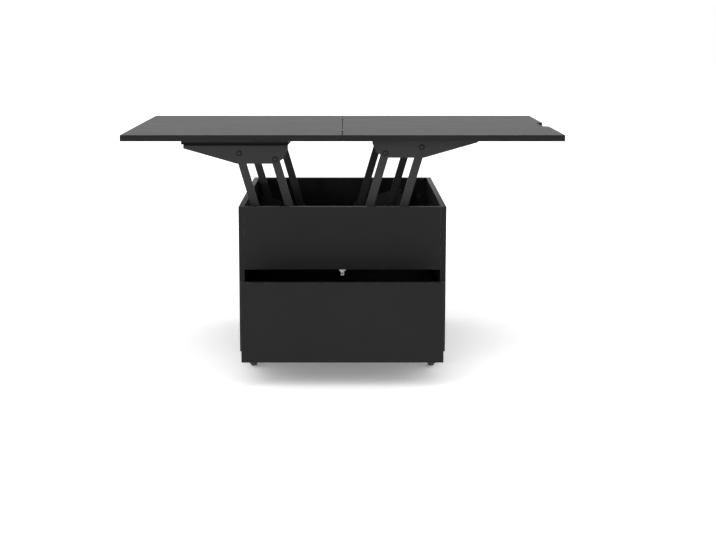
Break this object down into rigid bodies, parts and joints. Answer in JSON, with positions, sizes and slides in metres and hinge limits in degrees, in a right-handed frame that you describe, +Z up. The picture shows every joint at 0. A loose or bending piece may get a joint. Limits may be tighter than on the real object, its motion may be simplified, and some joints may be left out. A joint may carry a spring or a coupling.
{
  "type": "convertible coffee dining table",
  "caption": "Low cabinet table on casters whose top lifts on parallel arms and unfolds to a wide dining top, with a storage bay under the top and a drawer below.",
  "frame": {"origin": "on the floor, under the middle of the cabinet", "axes": "+Z up; +X to the right when facing the drawer, along the opened top; the drawer opens towards -Y"},
  "size_m": [1.2, 0.782, 0.6612],
  "materials": {
    "black_laminate": "matte black laminate on board",
    "black_hardboard": "thin dark board",
    "black_steel": "satin black powder coat",
    "zinc_steel": "zinc plated",
    "white_nylon": "moulded white",
    "black_plastic": "moulded black",
    "black_tread": "moulded black wheel"
  },
  "bodies": {
    "cabinet": {"side_panel_left": "black_laminate", "side_panel_right": "black_laminate", "upper_front_panel": "black_laminate", "back_panel": "black_laminate", "storage_floor": "black_laminate", "bottom_panel": "black_laminate", "cam_locks": "zinc_steel", "cam_bolts": "zinc_steel", "runner_channel_left": "black_steel", "runner_channel_right": "black_steel", "push_latch": "white_nylon", "lift_base_pins": "black_steel", "cabinet_screws": "zinc_steel", "caster_plates": "zinc_steel", "right_lift_base_front": "black_steel", "right_lift_base_back": "black_steel", "left_lift_base_front": "black_steel", "left_lift_base_back": "black_steel"},
    "right_outer_arms": {"right_outer_arms": "black_steel"},
    "right_inner_arms": {"right_inner_arms": "black_steel"},
    "right_leaf": {"right_leaf_panel": "black_laminate", "right_bracket_front": "black_steel", "right_bracket_back": "black_steel", "right_bracket_pins": "black_steel", "right_leaf_screws": "zinc_steel", "leaf_hinge_fixed_plates": "black_steel", "leaf_hinge_pins": "black_steel"},
    "left_leaf": {"left_leaf_panel": "black_laminate", "leaf_hinge_moving_plates": "black_steel", "left_leaf_screws": "zinc_steel"},
    "left_outer_arms": {"left_outer_arms": "black_steel"},
    "left_inner_arms": {"left_inner_arms": "black_steel"},
    "left_support": {"support_board": "black_laminate", "left_bracket_front": "black_steel", "left_bracket_back": "black_steel", "left_bracket_pins": "black_steel", "support_board_screws": "zinc_steel"},
    "drawer": {"drawer_front": "black_laminate", "drawer_inner_front": "black_laminate", "drawer_side_left": "black_laminate", "drawer_side_right": "black_laminate", "drawer_back": "black_laminate", "drawer_bottom": "black_hardboard", "drawer_rail_left": "black_steel", "drawer_rail_right": "black_steel", "latch_strike": "white_nylon", "drawer_screws": "zinc_steel"},
    "fork_front_left": {"caster_fork_front_left": "black_plastic", "caster_axle_front_left": "zinc_steel"},
    "wheel_front_left": {"caster_wheel_front_left": "black_tread"},
    "fork_front_right": {"caster_fork_front_right": "black_plastic", "caster_axle_front_right": "zinc_steel"},
    "wheel_front_right": {"caster_wheel_front_right": "black_tread"},
    "fork_back_left": {"caster_fork_back_left": "black_plastic", "caster_axle_back_left": "zinc_steel"},
    "wheel_back_left": {"caster_wheel_back_left": "black_tread"},
    "fork_back_right": {"caster_fork_back_right": "black_plastic", "caster_axle_back_right": "zinc_steel"},
    "wheel_back_right": {"caster_wheel_back_right": "black_tread"}
  },
  "joints": [
    {"name": "right_lift", "type": "hinge", "parent": "cabinet", "child": "right_outer_arms", "pos_m": [0.15227, 0, 0.38901], "axis": [0, -1, 0], "range_deg": [0, 94.6]},
    {"name": "right_inner_arm_swing", "type": "hinge", "parent": "cabinet", "child": "right_inner_arms", "pos_m": [0.05177, 0, 0.37181], "axis": [0, -1, 0], "range_deg": [0, 94.6]},
    {"name": "right_leaf_level", "type": "hinge", "parent": "right_outer_arms", "child": "right_leaf", "pos_m": [0.2191, 0, 0.61756], "axis": [0, 1, 0], "range_deg": [0, 94.6]},
    {"name": "left_lift", "type": "hinge", "parent": "cabinet", "child": "left_outer_arms", "pos_m": [-0.22167, 0, 0.36871], "axis": [0, 1, 0], "range_deg": [0, 94.6]},
    {"name": "left_inner_arm_swing", "type": "hinge", "parent": "cabinet", "child": "left_inner_arms", "pos_m": [-0.12117, 0, 0.35151], "axis": [0, 1, 0], "range_deg": [0, 94.6]},
    {"name": "left_support_level", "type": "hinge", "parent": "left_outer_arms", "child": "left_support", "pos_m": [-0.2885, 0, 0.59726], "axis": [0, -1, 0], "range_deg": [0, 94.6]},
    {"name": "leaf_fold", "type": "hinge", "parent": "right_leaf", "child": "left_leaf", "pos_m": [0, 0, 0.65901], "axis": [0, 1, 0], "range_deg": [0, 180]},
    {"name": "drawer_slide", "type": "slide", "parent": "cabinet", "child": "drawer", "axis": [0, -1, 0], "range_m": [-0.158, 0.172]},
    {"name": "swivel_front_left", "type": "hinge", "parent": "cabinet", "child": "fork_front_left", "pos_m": [-0.249, -0.266, 0.05], "axis": [0, 0, 1], "continuous": true},
    {"name": "roll_front_left", "type": "hinge", "parent": "fork_front_left", "child": "wheel_front_left", "pos_m": [-0.249, -0.252, 0.019], "axis": [1, 0, 0], "continuous": true},
    {"name": "swivel_front_right", "type": "hinge", "parent": "cabinet", "child": "fork_front_right", "pos_m": [0.249, -0.266, 0.05], "axis": [0, 0, 1], "continuous": true},
    {"name": "roll_front_right", "type": "hinge", "parent": "fork_front_right", "child": "wheel_front_right", "pos_m": [0.249, -0.252, 0.019], "axis": [1, 0, 0], "continuous": true},
    {"name": "swivel_back_left", "type": "hinge", "parent": "cabinet", "child": "fork_back_left", "pos_m": [-0.249, 0.266, 0.05], "axis": [0, 0, 1], "continuous": true},
    {"name": "roll_back_left", "type": "hinge", "parent": "fork_back_left", "child": "wheel_back_left", "pos_m": [-0.235, 0.266, 0.019], "axis": [0, -1, 0], "continuous": true},
    {"name": "swivel_back_right", "type": "hinge", "parent": "cabinet", "child": "fork_back_right", "pos_m": [0.249, 0.266, 0.05], "axis": [0, 0, 1], "continuous": true},
    {"name": "roll_back_right", "type": "hinge", "parent": "fork_back_right", "child": "wheel_back_right", "pos_m": [0.235, 0.266, 0.019], "axis": [0, 1, 0], "continuous": true}
  ],
  "couplings": [
    {"joint": "right_inner_arm_swing", "follows": "right_lift", "ratio": 1},
    {"joint": "right_leaf_level", "follows": "right_lift", "ratio": 1},
    {"joint": "left_lift", "follows": "right_lift", "ratio": 1},
    {"joint": "left_inner_arm_swing", "follows": "right_lift", "ratio": 1},
    {"joint": "left_support_level", "follows": "right_lift", "ratio": 1}
  ]
}
